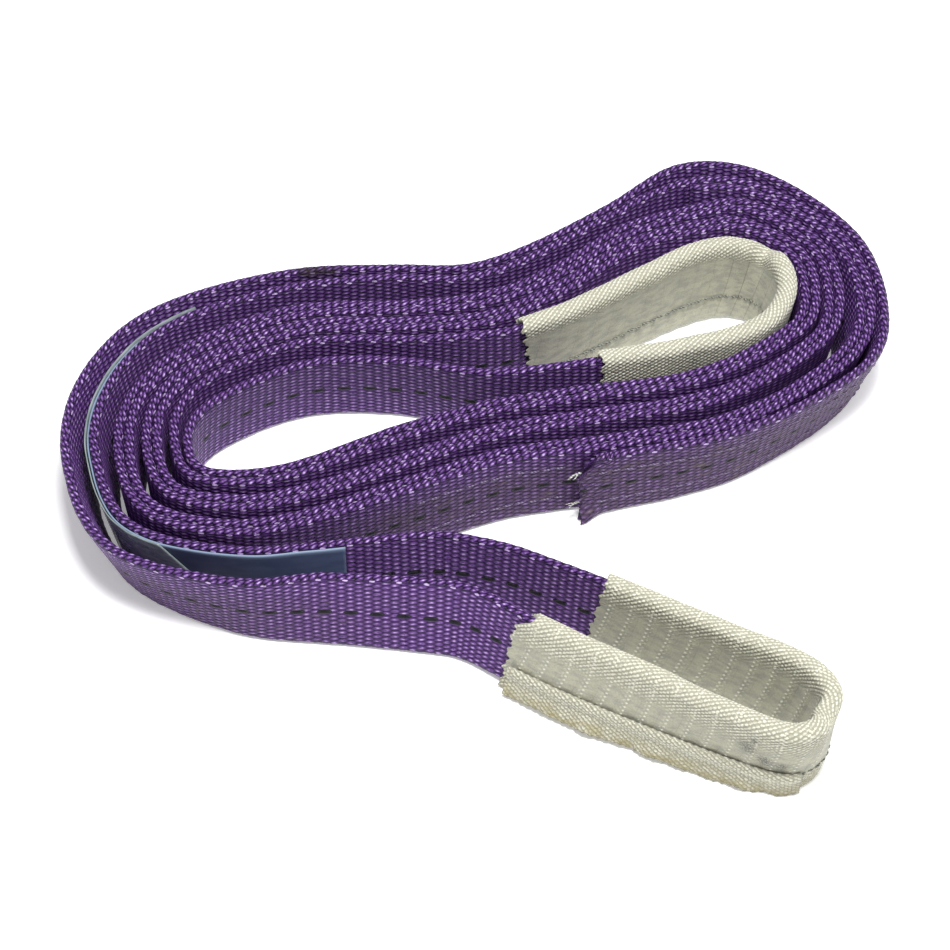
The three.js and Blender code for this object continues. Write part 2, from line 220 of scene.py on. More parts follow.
def centripetal(points, per_point):
    """A centripetal Catmull-Rom curve through the rows' x and y, per_point samples to each interval."""
    xy = points[:, :2]
    first, last = 2 * xy[0] - xy[1], 2 * xy[-1] - xy[-2]
    full = np.vstack([first, xy, last])
    rows = []
    part = np.arange(per_point)[:, None] / per_point
    for i in range(len(xy) - 1):
        p0, p1, p2, p3 = full[i:i + 4]
        d0, d1, d2 = (math.sqrt(np.linalg.norm(b - a)) for a, b in ((p0, p1), (p1, p2), (p2, p3)))
        t1 = ((p1 - p0) / d0 - (p2 - p0) / (d0 + d1) + (p2 - p1) / d1) * d1
        t2 = ((p2 - p1) / d1 - (p3 - p1) / (d1 + d2) + (p3 - p2) / d2) * d1
        c2 = -3 * p1 + 3 * p2 - 2 * t1 - t2
        c3 = 2 * p1 - 2 * p2 + t1 + t2
        rows.append(p1 + part * t1 + part ** 2 * c2 + part ** 3 * c3)
    return np.vstack(rows + [xy[-1:]])


PER_POINT = 40                     # curve samples between two rows
SAMPLE = 0.25                      # mm between the even samples of the route
SMOOTH = 4.0                       # mm, how far the route's bends are eased
GROUND = 0.02                      # mm, the lowest that any cloth lies
points, mark = lay_route()


class Route:
    """The route sampled evenly: place, right-hand direction, lean and lift against arc length."""

    def __init__(self):
        raw = centripetal(points, PER_POINT)
        raw_s = np.concatenate([[0], np.cumsum(np.linalg.norm(np.diff(raw, axis=0), axis=1))])
        index = np.arange(len(raw)) / PER_POINT
        self.raw_s = raw_s
        self.s = np.arange(0, raw_s[-1], SAMPLE)
        at = np.interp(self.s, raw_s, index)
        x, y = np.interp(self.s, raw_s, raw[:, 0]), np.interp(self.s, raw_s, raw[:, 1])
        knots = np.arange(len(points))
        lean, lift = np.interp(at, knots, points[:, 2]), np.interp(at, knots, points[:, 3])
        self.x, self.y = self.eased(x, SMOOTH), self.eased(y, SMOOTH)
        self.lean, self.lift = np.radians(self.eased(lean, 3 * SMOOTH)), self.eased(lift, 2 * SMOOTH)
        dx, dy = np.gradient(self.x), np.gradient(self.y)
        norm = np.hypot(dx, dy)
        self.rx, self.ry = dy / norm, -dx / norm

    @staticmethod
    def eased(values, width):
        reach = int(3 * width / SAMPLE)
        kernel = np.exp(-0.5 * (np.arange(-reach, reach + 1) * SAMPLE / width) ** 2)
        padded = np.concatenate([
            2 * values[0] - values[reach:0:-1], values, 2 * values[-1] - values[-2:-reach - 2:-1]])
        return np.convolve(padded, kernel / kernel.sum(), "valid")

    def length_at(self, index):
        return self.raw_s[int(round(index * PER_POINT))]

    def place(self, s, side, high):
        """Where a point lies that is side mm to the left of the strap's middle and high mm up its width."""
        x, y = np.interp(s, self.s, self.x), np.interp(s, self.s, self.y)
        rx, ry = np.interp(s, self.s, self.rx), np.interp(s, self.s, self.ry)
        lean, lift = np.interp(s, self.s, self.lean), np.interp(s, self.s, self.lift)
        below = high - WEB_WIDTH
        across = below * np.sin(lean) - side * np.cos(lean)
        z = lift + (WEB_WIDTH + below) * np.cos(lean) + side * np.sin(lean)
        return np.stack([
            (x + rx * across - COIL_CENTRE[0]) * MM,
            (y + ry * across - COIL_CENTRE[1]) * MM,
            np.maximum(z, GROUND) * MM], axis=-1)


route = Route()

# ------------ the weave, for shapes and for colours
WEB_CORE = 2.9                     # thickness between the hollows of the weave
RELIEF = 0.4                       # how far the floats stand out
EDGE_ROUND = 1.3
PERIMETER = 2 * (WEB_WIDTH + WEB_CORE)
FLOAT = dict(pitch=3.05, rise=1.8, shift=1 / 3, length=2.1, width=0.95, slant=0.1)
LOOP = dict(pitch=3.05, rise=1.25, shift=0.5, length=1.75, width=0.66, slant=0.4)
DOT = dict(pitch=9.15, rise=WEB_WIDTH + WEB_CORE, shift=0.0, length=1.1, width=0.8, slant=0.0)
DASH = dict(pitch=9.15, rise=WEB_WIDTH + WEB_CORE, shift=0.0, length=2.7, width=1.0, slant=0.06)
SLEEVE_KNOT = dict(pitch=1.28, rise=1.6, shift=0.5, length=0.8, width=0.56, slant=0.3)
SLEEVE_BEAD = dict(pitch=7.5, rise=1.9, shift=0.4, length=0.6, width=0.5, slant=0.0)


def lattice(s, v, pitch, rise, shift, length, width, slant):
    """Height from 0 to 1 of rounded floats set in columns, each column shifted against the last."""
    height = np.zeros(np.broadcast(s, v).shape)
    column = np.floor(s / pitch + 0.5)
    for k in (-1, 0, 1):
        away = s - (column + k) * pitch
        row = v / rise - (column + k) * shift + slant * away / rise
        beside = (row + 0.5 - np.floor(row + 0.5) - 0.5) * rise
        height = np.maximum(height, 1 - (away / length) ** 2 - (beside / width) ** 2)
    return np.sqrt(np.maximum(height, 0))


def smooth(low, high, x):
    t = np.clip((x - low) / (high - low), 0, 1)
    return t * t * (3 - 2 * t)


class Graph:
    """A material's node tree, with short calls for what the weaves need."""

    def __init__(self, name):
        self.material = bpy.data.materials.new(name)
        self.material.use_nodes = True
        self.tree = self.material.node_tree
        self.shader = self.tree.nodes["Principled BSDF"]
        uv = self.node("ShaderNodeUVMap")
        uv.uv_map = "weave"
        parts = self.node("ShaderNodeSeparateXYZ")
        self.tree.links.new(uv.outputs["UV"], parts.inputs[0])
        self.s = self.times(parts.outputs["X"], 1 / MM)
        self.v = self.times(parts.outputs["Y"], 1 / MM)
        self.flat = self.node("ShaderNodeCombineXYZ")
        self.tree.links.new(self.s, self.flat.inputs["X"])
        self.tree.links.new(self.v, self.flat.inputs["Y"])

    def node(self, kind):
        return self.tree.nodes.new(kind)

    def feed(self, socket, value):
        if isinstance(value, (int, float, tuple)):
            socket.default_value = value
        else:
            self.tree.links.new(value, socket)

    def math(self, operation, *values):
        node = self.node("ShaderNodeMath")
        node.operation = operation
        for socket, value in zip(node.inputs, values):
            self.feed(socket, value)
        return node.outputs[0]

    def times(self, first, second):
        return self.math("MULTIPLY", first, second)

    def plus(self, first, second):
        return self.math("ADD", first, second)

    def minus(self, first, second):
        return self.math("SUBTRACT", first, second)

    def larger(self, first, second):
        return self.math("MAXIMUM", first, second)

    def mix(self, factor, first, second):
        node = self.node("ShaderNodeMix")
        node.data_type = "RGBA"
        sockets = (node.inputs[0], node.inputs[6], node.inputs[7])
        for socket, value in zip(sockets, (factor, first, second)):
            self.feed(socket, value)
        return node.outputs[2]

    def between(self, value, low, high, to_low=0.0, to_high=1.0):
        node = self.node("ShaderNodeMapRange")
        node.interpolation_type = "SMOOTHSTEP"
        for socket, x in zip(node.inputs, (value, low, high, to_low, to_high)):
            self.feed(socket, x)
        return node.outputs[0]

    def stretched(self, along, across):
        node = self.node("ShaderNodeVectorMath")
        node.operation = "MULTIPLY"
        self.tree.links.new(self.flat.outputs[0], node.inputs[0])
        node.inputs[1].default_value = (along, across, 1)
        return node.outputs[0]

    def noise(self, vector, scale, detail=2.0):
        node = self.node("ShaderNodeTexNoise")
        self.tree.links.new(vector, node.inputs["Vector"])
        node.inputs["Scale"].default_value = scale
        node.inputs["Detail"].default_value = detail
        return node.outputs["Fac"]

    def attribute(self, name):
        node = self.node("ShaderNodeAttribute")
        node.attribute_name = name
        return node.outputs["Fac"]

    def lattice(self, s, v, pitch, rise, shift, length, width, slant):
        """The same heights as lattice() above."""
        column = self.math("FLOOR", self.plus(self.math("DIVIDE", s, pitch), 0.5))
        best = None
        for k in (-1, 0, 1):
            here = self.plus(column, k)
            away = self.minus(s, self.times(here, pitch))
            row = self.minus(self.math("DIVIDE", v, rise), self.times(here, shift))
            row = self.plus(row, self.times(away, slant / rise))
            turned = self.math("FRACT", self.plus(row, 0.5))
            beside = self.times(self.minus(turned, 0.5), rise / width)
            along = self.math("DIVIDE", away, length)
            far = self.plus(self.times(along, along), self.times(beside, beside))
            height = self.minus(1.0, far)
            best = height if best is None else self.larger(best, height)
        return self.math("SQRT", self.larger(best, 0.0))

    def bump(self, height, strength, distance):
        node = self.node("ShaderNodeBump")
        node.inputs["Strength"].default_value = strength
        node.inputs["Distance"].default_value = distance
        self.tree.links.new(height, node.inputs["Height"])
        self.tree.links.new(node.outputs[0], self.shader.inputs["Normal"])

    def finish(self, colour, roughness, sheen=0.0, specular=0.5):
        self.feed(self.shader.inputs["Base Color"], colour)
        self.feed(self.shader.inputs["Roughness"], roughness)
        self.shader.inputs["Sheen Weight"].default_value = sheen
        self.shader.inputs["Specular IOR Level"].default_value = specular
        return self.material


# Painted shade: this deep violet goes into the weave's hollows between the floats.
VIOLET_HOLLOW_SHADE = (0.005, 0.0015, 0.012, 1)
VIOLET = (0.066, 0.022, 0.132, 1)
# Painted highlights: the lighter violet and the pale lavender light the floats' crowns; the lavender also
# colours the edge's dots.
VIOLET_CROWN_HIGHLIGHT = (0.20, 0.092, 0.33, 1)
LAVENDER_AND_HIGHLIGHT = (0.66, 0.50, 0.84, 1)
# Rubbed grey-violet, darkened as well to stand in for shade: partly wear, partly painted shade.
MUTED_WEAR_SHADE = (0.062, 0.038, 0.066, 1)
MARKER = (0.006, 0.005, 0.009, 1)
OLIVE = (0.16, 0.13, 0.09, 1)
SOIL = (0.022, 0.016, 0.014, 1)


def webbing_material():
    g = Graph("webbing_weave")
    wave = g.noise(g.stretched(0.05, 0.4), 1.0)
    s = g.plus(g.s, g.times(wave, 0.8))
    face = g.lattice(s, g.v, **FLOAT)
    loops = g.lattice(s, g.v, **LOOP)
    upper = g.minus(g.v, WEB_WIDTH + WEB_CORE / 2)
    edge = g.attribute("edge")
    height = g.larger(g.times(face, g.minus(1.0, edge)), g.times(loops, edge))
    dots = g.lattice(g.plus(s, 3.0), g.minus(upper, WEB_CORE * 0.75), **DOT)
    others = g.lattice(g.plus(s, 7.5), g.plus(upper, WEB_CORE * 0.75), **DOT)
    dots = g.larger(dots, others)
    dash = g.lattice(s, g.minus(g.v, WEB_WIDTH / 2), **DASH)
    strand = g.noise(g.stretched(0.55, 2.2), 1.0)
    fibre = g.noise(g.stretched(0.8, 9.0), 1.0, 3.0)
    # Painted shade in the hollows between the floats, the floats' own violet above it.
    tint = g.mix(g.between(height, 0.2, 0.8), VIOLET_HOLLOW_SHADE, VIOLET)
    # Painted highlights on the floats' crowns, lighter violet and then pale lavender glints.
    tint = g.mix(g.times(g.between(height, 0.7, 1.0), g.between(strand, 0.3, 0.58)), tint, VIOLET_CROWN_HIGHLIGHT)
    shine = g.times(g.between(height, 0.9, 1.0), g.between(strand, 0.42, 0.62))
    tint = g.mix(g.times(shine, 0.75), tint, LAVENDER_AND_HIGHLIGHT)
    wear = g.attribute("wear")
    patch = g.noise(g.stretched(0.12, 0.5), 1.0, 3.0)
    # Rubbed faces turn grey and darker, partly wear and partly painted shade, with painted shade in their
    # hollows.
    worn_and_shaded = g.times(wear, g.between(patch, 0.25, 0.6, 0.35, 1.0))
    faded_and_shaded = g.mix(g.between(height, 0.1, 0.75, 0.05, 1.0), VIOLET_HOLLOW_SHADE, MUTED_WEAR_SHADE)
    tint = g.mix(g.times(worn_and_shaded, 0.8), tint, faded_and_shaded)
    tint = g.mix(g.times(g.times(wear, 0.5), g.between(patch, 0.6, 0.72)), tint, OLIVE)
    tint = g.mix(g.times(g.between(dash, 0.05, 0.3), g.minus(1.0, edge)), tint, MARKER)
    # The edge's raised dots in pale lavender, the same colour as the painted highlights.
    tint = g.mix(g.times(g.between(dots, 0.2, 0.7), g.between(strand, 0.3, 0.55)), tint, LAVENDER_AND_HIGHLIGHT)
    dirt = g.attribute("dirt")
    tint = g.mix(g.times(dirt, g.between(patch, 0.3, 0.6, 0.3, 0.95)), tint, SOIL)
    relief = g.plus(g.plus(height, g.times(dots, 0.6)), g.times(fibre, 0.25))
    g.bump(relief, 0.8, 0.0006)
    return g.finish(tint, g.between(fibre, 0.2, 0.8, 0.32, 0.6), specular=0.22)


CREAM = (0.43, 0.425, 0.335, 1)
# Painted highlight: the pale cream on the crowns of the sleeve's knots and beads.
CREAM_CROWN_HIGHLIGHT = (0.78, 0.77, 0.65, 1)
CREAM_DEEP = (0.19, 0.187, 0.145, 1)
GREY_FACE = (0.31, 0.31, 0.26, 1)
YELLOWED = (0.33, 0.29, 0.15, 1)
# Dark grey, for the tip's smudges and as painted shade in the sleeve's rib creases.
SLEEVE_DIRT_AND_SHADE = (0.12, 0.12, 0.10, 1)


def sleeve_material():
    g = Graph("sleeve_weave")
    knots = g.lattice(g.s, g.v, **SLEEVE_KNOT)
    curved = g.plus(g.s, g.attribute("sway"))
    beads = g.lattice(curved, g.v, **SLEEVE_BEAD)
    ridge = g.attribute("ridge")
    patch = g.noise(g.stretched(0.18, 0.5), 1.0, 3.0)
    grain = g.noise(g.stretched(1.6, 1.6), 1.0, 3.0)
    bare = g.between(patch, 0.35, 0.62)
    lit = g.noise(g.stretched(0.9, 0.9), 1.0)
    # The knots' crowns, mostly along the ridge and in patches given by lit, carry the painted highlight.
    show = g.times(knots, g.larger(ridge, g.times(bare, 0.12)))
    show = g.times(show, g.between(lit, 0.3, 0.6, 0.45, 1.0))
    pair = g.lattice(g.minus(curved, 1.3), g.plus(g.v, 0.9), **SLEEVE_BEAD)
    beads = g.larger(beads, g.times(pair, 0.7))
    height = g.larger(show, g.times(beads, g.attribute("beaded")))
    base = g.mix(ridge, g.mix(bare, GREY_FACE, CREAM), g.mix(0.22, CREAM, CREAM_DEEP))
    # Painted highlight on the crowns of the knots and beads.
    tint = g.mix(g.between(height, 0.25, 0.8), base, CREAM_CROWN_HIGHLIGHT)
    tint = g.mix(g.between(grain, 0.35, 0.75, 0.0, 0.35), tint, CREAM_DEEP)
    # Painted shade: thin dark lines in the creases between the ribs, also sunk in the bump.
    lines = g.math("FRACT", g.math("DIVIDE", curved, SLEEVE_BEAD["pitch"]))
    rib_groove = g.between(g.math("ABSOLUTE", g.minus(lines, 0.42)), 0.0, 0.035, 1.0, 0.0)
    rib_groove = g.times(rib_groove, g.minus(1.0, ridge))
    tint = g.mix(g.times(rib_groove, g.attribute("groove_shaded")), tint, SLEEVE_DIRT_AND_SHADE)
    tint = g.mix(g.times(g.attribute("grime"), g.between(patch, 0.25, 0.7, 0.2, 1.0)), tint, YELLOWED)
    tint = g.mix(g.times(g.attribute("smudge"), g.between(grain, 0.3, 0.6)), tint, SLEEVE_DIRT_AND_SHADE)
    relief = g.plus(height, g.times(grain, 0.35))
    relief = g.minus(relief, g.times(rib_groove, 0.25))
    g.bump(relief, 0.7, 0.0005)
    return g.finish(tint, g.between(grain, 0.2, 0.8, 0.5, 0.8), sheen=0.2, specular=0.4)


SEAM_COLOURS = ((0.035, 0.04, 0.03, 1), (0.30, 0.31, 0.27, 1))
BODY_COLOURS = ((0.07, 0.045, 0.11, 1), (0.26, 0.20, 0.33, 1))
LOOSE_COLOURS = ((0.30, 0.30, 0.26, 1), (0.80, 0.80, 0.75, 1))
LABEL_BLUE = (0.042, 0.060, 0.125, 1)
LABEL_FADED = (0.060, 0.085, 0.160, 1)
LABEL_LIT = (0.10, 0.14, 0.28, 1)
LABEL_RIM = (0.22, 0.29, 0.40, 1)
FILM_DEEP = (0.30, 0.38, 0.36, 1)
FILM_PALE = (0.52, 0.60, 0.60, 1)
FILM_ALPHA = 0.55


def thread_material(name, dark, light):
    g = Graph(name)
    twist = g.math("SINE", g.plus(g.times(g.s, 5.2), g.times(g.v, 2.6)))
    grain = g.noise(g.stretched(3.0, 3.0), 1.0)
    tint = g.mix(g.between(g.plus(twist, grain), -0.4, 1.4), dark, light)
    g.bump(g.plus(twist, grain), 0.6, 0.0002)
    return g.finish(tint, 0.6, sheen=0.2)


def label_material():
    g = Graph("label_cloth")
    grain = g.noise(g.stretched(2.5, 6.0), 1.0, 3.0)
    fade = g.noise(g.stretched(0.08, 0.3), 1.0)
    tint = g.mix(g.between(fade, 0.3, 0.7), LABEL_BLUE, LABEL_FADED)
    tint = g.mix(g.attribute("rim"), tint, LABEL_RIM)
    tint = g.mix(g.between(grain, 0.4, 0.8, 0.0, 0.25), tint, LABEL_LIT)
    g.bump(grain, 0.25, 0.0002)
    return g.finish(tint, g.between(grain, 0.2, 0.8, 0.35, 0.55))


def film_material():
    g = Graph("film_clear")
    grain = g.noise(g.stretched(0.15, 0.6), 1.0, 3.0)
    tint = g.mix(g.between(grain, 0.3, 0.7), FILM_DEEP, FILM_PALE)
    g.shader.inputs["Alpha"].default_value = FILM_ALPHA
    g.bump(grain, 0.35, 0.001)
    return g.finish(tint, g.between(grain, 0.2, 0.8, 0.12, 0.3), specular=0.7)


WEBBING = webbing_material()
SLEEVE = sleeve_material()
SEAM_THREAD = thread_material("seam_thread", *SEAM_COLOURS)
BODY_THREAD = thread_material("body_thread", *BODY_COLOURS)
LOOSE_THREAD = thread_material("loose_thread", *LOOSE_COLOURS)
LABEL_CLOTH = label_material()
FILM = film_material()

# ------------ meshes
def link_mesh(name, verts, faces, corners, material, attributes=None, caps=0):
    """A smooth mesh in the scene. Its last faces, as many as caps says, are shaded flat."""
    mesh = bpy.data.meshes.new(name)
    mesh.from_pydata(verts, [], faces)
    mesh.uv_layers.new(name="weave").data.foreach_set("uv", corners.astype(np.float32).ravel())
    for key, values in (attributes or {}).items():
        attribute = mesh.attributes.new(key, "FLOAT", "POINT")
        attribute.data.foreach_set("value", values.astype(np.float32).ravel())
    mesh.polygons.foreach_set("use_smooth", np.arange(len(faces)) < len(faces) - caps)
    mesh.materials.append(material)
    mesh.update()
    mesh.validate()
    piece = bpy.data.objects.new(name, mesh)
    bpy.context.scene.collection.objects.link(piece)
    return piece


def make_mesh(name, grid, uv, material, attributes, ring=False):
    """A piece from a grid of places, rows along it and columns round it. A ring's rows wrap as well.

    uv is in mm and has one more column than the grid.
    """
    rows, columns = grid.shape[:2]
    i, k = np.meshgrid(np.arange(rows if ring else rows - 1), np.arange(columns), indexing="ij")
    onward, after = (i + 1) % rows, (k + 1) % columns
    here, there = i * columns, onward * columns
    faces = np.stack([here + k, here + after, there + after, there + k], -1).reshape(-1, 4).tolist()
    corners = np.stack([uv[i, k], uv[i, k + 1], uv[onward, k + 1], uv[onward, k]], axis=2).reshape(-1, 2)
    caps = []
    if not ring:
        caps = [list(range(columns))[::-1], list(range((rows - 1) * columns, rows * columns))]
        corners = np.vstack([corners, uv[0, :columns][::-1], uv[-1, :columns]])
    verts = grid.reshape(-1, 3).tolist()
    return link_mesh(name, verts, faces + caps, corners * MM, material, attributes, len(caps))


EDGE_POINTS = 9                    # round each of the webbing's two edges
WAVES = 6                          # sines in an unevenness


def web_section(across_step):
    """Rows round the webbing: side, high, outward direction, distance round, and 1 at an edge."""
    rows = []
    half = WEB_CORE / 2
    highs = np.arange(EDGE_ROUND, WEB_WIDTH - EDGE_ROUND + 0.01, across_step)
    turn = np.linspace(0, math.pi, EDGE_POINTS)[1:-1]
    for high in highs:
        rows.append((half, high, 1, 0, high, 0))
    for a in turn:
        side, up = half * math.cos(a), EDGE_ROUND * math.sin(a)
        round_at = WEB_WIDTH + WEB_CORE * (1 - math.cos(a)) / 2
        rows.append((side, WEB_WIDTH - EDGE_ROUND + up, math.cos(a), math.sin(a), round_at, 1))
    for high in highs[::-1]:
        rows.append((-half, high, -1, 0, 2 * WEB_WIDTH + WEB_CORE - high, 0))
    for a in turn:
        side, up = -half * math.cos(a), -EDGE_ROUND * math.sin(a)
        round_at = 2 * WEB_WIDTH + WEB_CORE + WEB_CORE * (1 - math.cos(a)) / 2
        rows.append((side, EDGE_ROUND + up, -math.cos(a), -math.sin(a), round_at, 1))
    return np.array(rows, float)


def wander(s, seed, wave, size):
    """A gentle unevenness along the strap, the same at each run."""
    draw = np.random.default_rng(seed)
    total = np.zeros_like(s)
    for k in range(WAVES):
        turn = 2 * math.pi / (wave * (0.6 + 0.35 * k))
        total += np.sin(s * turn + draw.uniform(0, 2 * math.pi))
    return total * size / math.sqrt(WAVES)


PLAIN_STEPS = dict(along_step=FLOAT["pitch"] / 3, across_step=0.55)
FINE_STEPS = dict(along_step=FLOAT["pitch"] / 4, across_step=0.5)


def unmarked(s, high, side):
    """No wear, dirt or smudge anywhere."""
    return 0


def as_woven(s, side, high):
    """The shape of a run that nothing crumples or cuts."""
    return s, side, high


def web_piece(name, start, end, along_step, across_step, wear, dirt, shape):
    """A run of webbing from one place on the route to another, its weave raised in the mesh."""
    steps = max(int(round((end - start) / along_step)), 2)
    s = np.linspace(start, end, steps + 1)[:, None]
    section = web_section(across_step)
    side, high, out_side, out_high, around, edge = section.T[:, None, :]
    weave = lattice(s, around, **FLOAT) * (1 - edge) + lattice(s, around, **LOOP) * edge * 0.7
    lift = RELIEF * weave
    uneven = wander(s, 7, 60, 0.12) + wander(s, 11, 17, 0.06)
    full_side = side + out_side * lift + uneven * np.cos(np.pi * high / WEB_WIDTH)
    full_high = high + out_high * lift * 0.8 + uneven * 0.6 * smooth(20, 30, high)
    grid = route.place(*shape(s + np.zeros_like(full_side), full_side, full_high))
    every = np.ones(grid.shape[:2])
    uv_v = np.append(around[0], PERIMETER + around[0, 0])
    uv = np.stack(np.broadcast_arrays(s, uv_v[None, :]), axis=-1)
    left = side > 0
    marks = {"edge": every * edge, "wear": every * wear(s, high, left), "dirt": every * dirt(s, high, left)}
    return make_mesh(name, grid, uv, WEBBING, marks)


def at(landmark, points_on=0.0):
    return route.length_at(mark[landmark] + points_on)


def declare(nodes):
    """Hides the CAD parts that the piece stands for."""
    if nodes:
        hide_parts(*nodes)


# ------------ the strap's runs
# Wear, dirt: 0 to 1 at each place s along the route, high mm up; left is true on the left face.
def worn_outside(s, high, left):
    """The outer ply of the fourth turn is rubbed grey below its upper edge, away from the eye."""
    along = smooth(at("back", -2.0), at("back", 1.5), s)
    return left * (1 - smooth(17, 28, high)) * 0.6 * along


def worn_lap(s, high, left):
    """The lapped end is rubbed nearly all over its outer face."""
    return left * (1 - 0.75 * smooth(23, 30, high)) * 0.9


def worn_and_shaded_front(s, high, left):
    """The third turn is rubbed where the lapped end lies on it and left of it, and darkened there as
    painted shade.
    """
    along = smooth(at("outer_2", 9.5), at("outer_2", 11), s)
    return (1 - left) * (1 - smooth(18, 29, high)) * 0.85 * along


# Each run's first and last place on the route: a landmark, and how many rows on from it.
RUNS = dict(
    turn_3_inner_ply=("inner_2", 0, "inner_1", -0.5),
    turn_2_inner_ply=("inner_1", -0.5, "inner_0", -0.5),
    turn_1_inner_ply=("inner_0", -0.5, "inner_eye", 0),
    inner_eye_loop=("inner_eye", 0, "outer_0", 0),
    turn_1_outer_ply=("outer_0", 0, "outer_1", -0.5),
    turn_2_outer_ply=("outer_1", -0.5, "outer_2", -0.5),
    turn_3_outer_ply=("outer_2", -0.5, "outer_3", -0.5),
    turn_4_inner_ply=("outer_3", -0.5, "outer_eye", 0.1),
    outer_eye_loop=("outer_eye", 0.1, "back", -0.7),
    turn_4_outer_ply=("back", -0.7, "lap", -0.5),
    lapped_outer_end=("lap", -0.5, "end", 0),
)
# The runs that are seen close have a finer mesh.
FINE = ("inner_eye_loop", "outer_eye_loop", "turn_4_outer_ply", "turn_4_inner_ply", "lapped_outer_end")
WORN = dict(turn_4_outer_ply=worn_outside, lapped_outer_end=worn_lap, outer_eye_loop=worn_outside,
            turn_3_outer_ply=worn_and_shaded_front)
DIRTY_AT = at("back", 6.3)


def dirt_patch(s, high, left):
    """A short dark stain over the fourth turn's upper edge."""
    return smooth(11, 4, np.abs(s - DIRTY_AT)) * smooth(20, 29, high) * 0.8


INNER_PINCH = at("inner_eye", 10.4)
OUTER_PINCH = at("outer_eye", 10.6)


def bulge(s, middle, width):
    """1 at the middle, falling away to both sides."""
    return np.exp(-((s - middle) / width) ** 2)


def inner_crumple(s, high):
    """A fold in the upper edge where the inner eye turns back."""
    near, after = bulge(s, INNER_PINCH, 4.0), bulge(s, INNER_PINCH + 8, 4.0)
    upper = smooth(12, 31, high)
    return (1.6 * after - 2.2 * near) * upper, (-3.6 * near + 0.6 * after) * smooth(18, 32, high)


def outer_crumple(s, high):
    """The outer eye's tip draws in and down at its upper edge."""
    near = bulge(s, OUTER_PINCH, 5.5)
    return -2.0 * near * smooth(8, 31, high), -3.0 * near * smooth(18, 32, high)


def crumpled(crumple):
    """A run's shape from a crumple, which gives how far the cloth is pushed aside and up."""

    def shape(s, side, high):
        push_side, push_high = crumple(s, high)
        return s, side + push_side, high + push_high

    return shape


def cut_end(s, side, high):
    """The lapped end is cut on the slant, and its lower corner curls out."""
    near = smooth(at("end") - 14, at("end"), s)
    slant = -5.5 * smooth(20, 30, high) + 0.8 * np.sin(high * 1.3) + 0.5 * np.sin(high * 3.1)
    curl = 2.6 * smooth(9, 0, high) * smooth(at("end") - 9, at("end"), s)
    return s + slant * near, side + curl, high - 0.4 * curl


SHAPES = dict(inner_eye_loop=crumpled(inner_crumple), outer_eye_loop=crumpled(outer_crumple),
              lapped_outer_end=cut_end)
for node, (first, first_on, last, last_on) in RUNS.items():
    start, end = at(first, first_on), at(last, last_on)
    steps = FINE_STEPS if node in FINE else PLAIN_STEPS
    dirt = dirt_patch if node == "turn_4_outer_ply" else unmarked
    piece = web_piece("web_" + node, start, end, wear=WORN.get(node, unmarked), dirt=dirt,
                      shape=SHAPES.get(node, as_woven), **steps)
    if node == "outer_eye_loop":
        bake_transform(piece)
    else:
        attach(piece, "coil")
    declare([node])

# ------------ sleeves over the two eyes
SLEEVE_HALF = 3.35
SLEEVE_TOP = 31.9
SLEEVE_LOW = 0.1 - SLEEVE_LIFT
SLEEVE_CORNERS = (1.6, 3.1)        # mm, the radii at the foot and at the top
SLEEVE_INSIDE = 2.15               # mm from the strap's middle to the sleeve's inner face
SLEEVE_RELIEF = 0.35
SLEEVE_FACE = SLEEVE_HALF + SLEEVE_RELIEF
SLEEVE_STEP = 0.57                 # mm between mesh rows
ROUND_STEP = 0.42                  # mm between mesh columns
SWAY = 7.5                         # mm, how far the sleeve's ribs run out towards its foot
INNER_SPAN = ("inner_eye", 2.85, 17.0)
OUTER_SPAN = ("outer_eye", 3.9, 18.0)


def loop_section(half, low, top, corners, step):
    """A closed rounded loop from the middle of the foot up the left side.

    Gives its side and high, the two parts of its outward direction, and the distance round.
    """
    corner_low, corner_top = corners
    pieces = []

    def line(a, b):
        count = max(int(math.hypot(b[0] - a[0], b[1] - a[1]) / step), 1)
        for t in np.arange(count) / count:
            pieces.append((a[0] + (b[0] - a[0]) * t, a[1] + (b[1] - a[1]) * t))

    def bow(centre, radius, first, last):
        count = max(int(radius * abs(last - first) / (step * 0.8)), 3)
        for t in np.arange(count) / count:
            a = first + (last - first) * t
            pieces.append((centre[0] + radius * math.cos(a), centre[1] + radius * math.sin(a)))

    quarter = math.pi / 2
    line((0, low), (half - corner_low, low))
    bow((half - corner_low, low + corner_low), corner_low, -quarter, 0)
    line((half, low + corner_low), (half, top - corner_top))
    bow((half - corner_top, top - corner_top), corner_top, 0, quarter)
    line((half - corner_top, top), (corner_top - half, top))
    bow((corner_top - half, top - corner_top), corner_top, quarter, 2 * quarter)
    line((-half, top - corner_top), (-half, low + corner_low))
    bow((corner_low - half, low + corner_low), corner_low, 2 * quarter, 3 * quarter)
    line((corner_low - half, low), (0, low))
    loop = np.array(pieces)
    ahead = np.roll(loop, -1, axis=0) - np.roll(loop, 1, axis=0)
    ahead /= np.linalg.norm(ahead, axis=1)[:, None]
    gaps = np.linalg.norm(np.diff(np.vstack([loop, loop[:1]]), axis=0), axis=1)
    around = np.concatenate([[0], np.cumsum(gaps)])
    return loop[:, 0], loop[:, 1], ahead[:, 1], -ahead[:, 0], around


